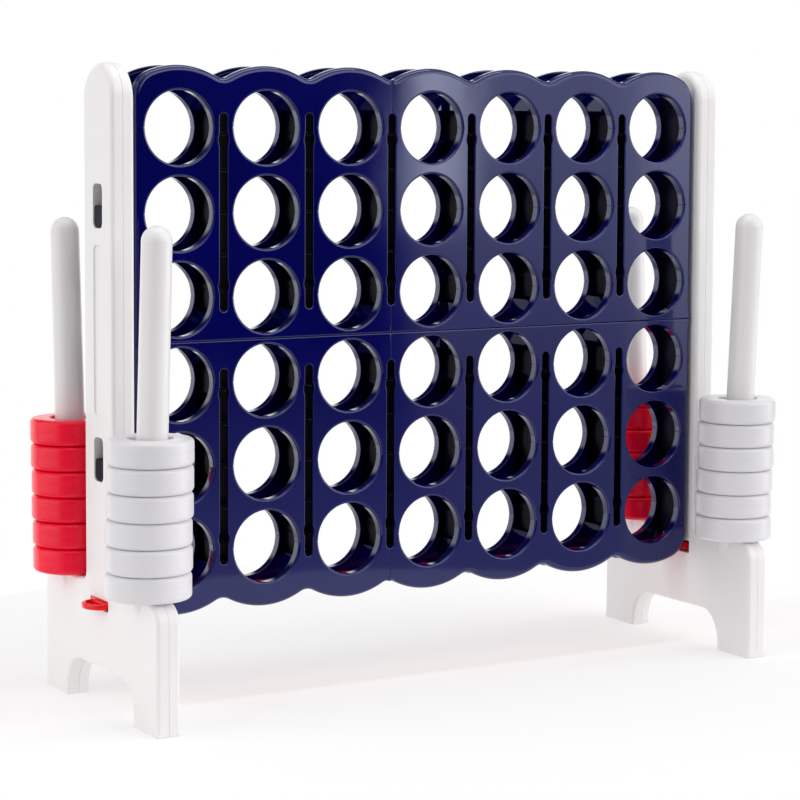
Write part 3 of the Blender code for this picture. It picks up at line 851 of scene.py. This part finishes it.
class Sky:
    """The studio round the object, put together from fields of light by direction.

    A heading is in degrees from -Y towards +X, an elevation in degrees above the ground. A field is 1 where
    it is lit and 0 elsewhere, times its level. Soft is the width of its edges, as a difference of sines.
    """

    def __init__(self, name):
        self.world = bpy.data.worlds.new(name)
        self.world.use_nodes = True
        self.tree = self.world.node_tree
        self.coords = self.tree.nodes.new("ShaderNodeTexCoord").outputs["Generated"]

    def join(self, operation, *values):
        """A Math node over numbers and outputs."""
        node = self.tree.nodes.new("ShaderNodeMath")
        node.operation = operation
        for socket, value in zip(node.inputs, values):
            if isinstance(value, float):
                socket.default_value = value
            else:
                self.tree.links.new(value, socket)
        return node.outputs["Value"]

    def step(self, direction, low, high):
        """From 0 to 1 as the view turns towards a direction, between two cosines."""
        dot = self.tree.nodes.new("ShaderNodeVectorMath")
        dot.operation = "DOT_PRODUCT"
        dot.inputs[1].default_value = direction
        self.tree.links.new(self.coords, dot.inputs[0])
        soft = self.tree.nodes.new("ShaderNodeMapRange")
        soft.interpolation_type = "SMOOTHSTEP"
        soft.inputs["From Min"].default_value = low
        soft.inputs["From Max"].default_value = high
        self.tree.links.new(dot.outputs["Value"], soft.inputs["Value"])
        return soft.outputs["Result"]

    def past(self, heading, soft):
        """Lit from a heading onwards."""
        a = math.radians(heading)
        return self.step((math.cos(a), math.sin(a), 0.0), -soft / 2, soft / 2)

    def before(self, heading, soft):
        """Lit up to a heading."""
        a = math.radians(heading)
        return self.step((-math.cos(a), -math.sin(a), 0.0), -soft / 2, soft / 2)

    def sector(self, start, end, soft):
        """Between two headings."""
        return self.join("MINIMUM", self.past(start, soft), self.before(end, soft))

    def panel(self, start, end, low, high, level, soft=0.06):
        """Between two headings and two elevations."""
        bottom, top = math.sin(math.radians(low)), math.sin(math.radians(high))
        above = self.step(UP, bottom - soft / 2, bottom + soft / 2)
        below = self.step(DOWN, -top - soft / 2, -top + soft / 2)
        field = self.join("MULTIPLY", self.sector(start, end, soft), self.join("MINIMUM", above, below))
        return self.join("MULTIPLY", field, level)

    def rise(self, low, high, base, gain):
        """A level that grows from base by gain between two elevations."""
        grown = self.step(UP, math.sin(math.radians(low)), math.sin(math.radians(high)))
        return self.join("MULTIPLY_ADD", grown, gain, base)

    def show(self, level):
        """Lights the scene by level. The camera itself sees plain white."""
        lit = self.tree.nodes.new("ShaderNodeBackground")
        self.tree.links.new(level, lit.inputs["Strength"])
        seen = self.tree.nodes["Background"]
        for background in (lit, seen):
            background.inputs["Color"].default_value = (1.0, 1.0, 1.0, 1.0)
        path = self.tree.nodes.new("ShaderNodeLightPath")
        mix = self.tree.nodes.new("ShaderNodeMixShader")
        self.tree.links.new(path.outputs["Is Camera Ray"], mix.inputs["Fac"])
        self.tree.links.new(lit.outputs["Background"], mix.inputs[1])
        self.tree.links.new(seen.outputs["Background"], mix.inputs[2])
        self.tree.links.new(mix.outputs["Shader"], self.tree.nodes["World Output"].inputs["Surface"])
        bpy.context.scene.world = self.world


def build_world():
    sky = Sky("studio")
    # The low wall that the board mirrors. It starts in the board's fourth column with a bright stripe, the
    # flare, so the three columns left of that stay dark, and it is brighter over its right part.
    wall = sky.join("MULTIPLY", sky.panel(31.2, 70.0, -90.0, 8.0, 1.0, 0.02), sky.rise(-8.0, 2.0, 0.45, 0.95))
    wall_right = sky.join("MULTIPLY", sky.join("MULTIPLY", wall, sky.past(36.0, 0.03)), 1.95)
    flare = sky.join("MULTIPLY", sky.panel(31.2, 50.0, -2.5, 8.0, 6.4, 0.02), sky.before(32.4, 0.04))
    ground_bounce = sky.rise(-13.0, -4.0, 0.6, -0.6)
    left_window = sky.panel(-130.0, -62.0, -12.0, 45.0, 1.82, 0.2)
    high_front_right = sky.panel(0.0, 80.0, 5.0, 44.0, 2.25, 0.12)
    right_strip = sky.panel(68.0, 77.0, -14.0, 14.0, 6.5, 0.04)
    rear = sky.panel(110.0, 222.0, -24.0, 22.0, 1.5, 0.15)
    camera_side = sky.panel(-66.0, 24.0, 8.0, 60.0, 0.18, 0.15)
    ceiling = sky.join("MULTIPLY", sky.step(UP, 0.55, 0.85), 0.9)
    ambient = 0.025
    level = wall
    for field in (wall_right, flare, ground_bounce, left_window, high_front_right, right_strip, rear,
                  camera_side, ceiling, ambient):
        level = sky.join("MAXIMUM", level, field)
    sky.show(level)


def build_lights():
    build_world()
    area_light("overhead_strip", (0.0, -0.25, 2.8), (0.0, 0.0, 0.8), (2.0, 0.25), 7.0)


CAMERA_PLACE = (-2.24457, -3.68641, 0.96971)
CAMERA_TURN = (30.9266, -4.7263, 0.2913)    # heading from +Y towards +X, pitch and roll, in degrees


def build_camera():
    data = bpy.data.cameras.new("camera")
    data.sensor_width = 36.0
    data.lens = 113.03
    data.shift_y = -0.1
    data.clip_end = 100.0
    camera = bpy.data.objects.new("camera", data)
    heading, pitch, roll = (math.radians(v) for v in CAMERA_TURN)
    level = math.cos(pitch)
    forward = Vector((math.sin(heading) * level, math.cos(heading) * level, math.sin(pitch)))
    right = Vector((math.cos(heading), -math.sin(heading), 0.0))
    up = right.cross(forward)
    x = math.cos(roll) * right + math.sin(roll) * up
    y = -math.sin(roll) * right + math.cos(roll) * up
    matrix = Matrix((x, y, -forward)).transposed().to_4x4()
    matrix.translation = Vector(CAMERA_PLACE)
    camera.matrix_world = matrix
    bpy.context.scene.collection.objects.link(camera)
    bpy.context.scene.camera = camera


build_panels()
build_dividers()
build_end_walls()
build_uprights()
build_posts()
build_rings()
build_release_bars()
build_stage()
build_lights()
build_camera()
bpy.context.scene.view_settings.view_transform = "Standard"
